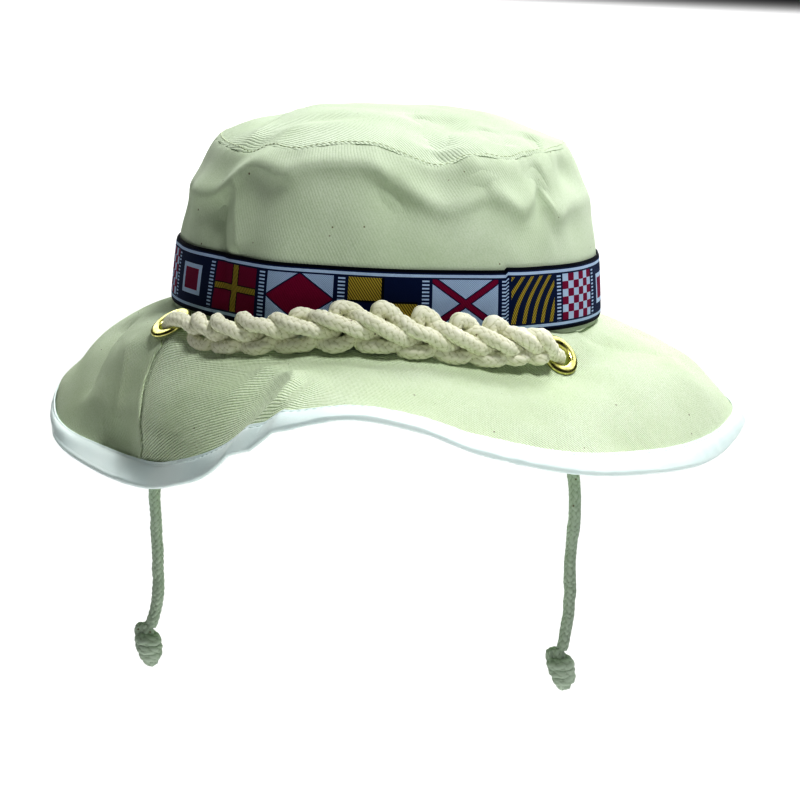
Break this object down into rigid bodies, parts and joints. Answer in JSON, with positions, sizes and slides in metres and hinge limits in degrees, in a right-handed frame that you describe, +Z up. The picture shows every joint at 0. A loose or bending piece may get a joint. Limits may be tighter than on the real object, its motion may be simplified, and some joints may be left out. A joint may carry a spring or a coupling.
{
  "type": "canvas bucket hat",
  "caption": "Canvas bucket hat with a wavy bound brim, a woven signal-flag ribbon, a chain-knotted cotton cord along the front and two knotted ties that hang below the brim.",
  "frame": {"origin": "centre of the head opening, in the plane of the seam between the crown and the brim", "axes": "+Z up along the crown, -Y towards the front of the hat, +X towards the right side as seen from the front"},
  "size_m": [0.2951, 0.3288, 0.2254],
  "materials": {
    "canvas": "matt cotton twill",
    "binding": "smooth white cotton bias binding",
    "ribbon": "woven jacquard ribbon",
    "cord": "matt cotton cord",
    "brass": "polished"
  },
  "bodies": {
    "root": {"crown_side": "canvas", "crown_top": "canvas", "brim": "canvas", "brim_binding": "binding", "flag_band": "ribbon", "eyelet_left": "brass", "eyelet_right": "brass", "braid": "cord", "cord_left": "cord", "cord_right": "cord", "knot_left": "cord", "knot_right": "cord"}
  },
  "joints": []
}
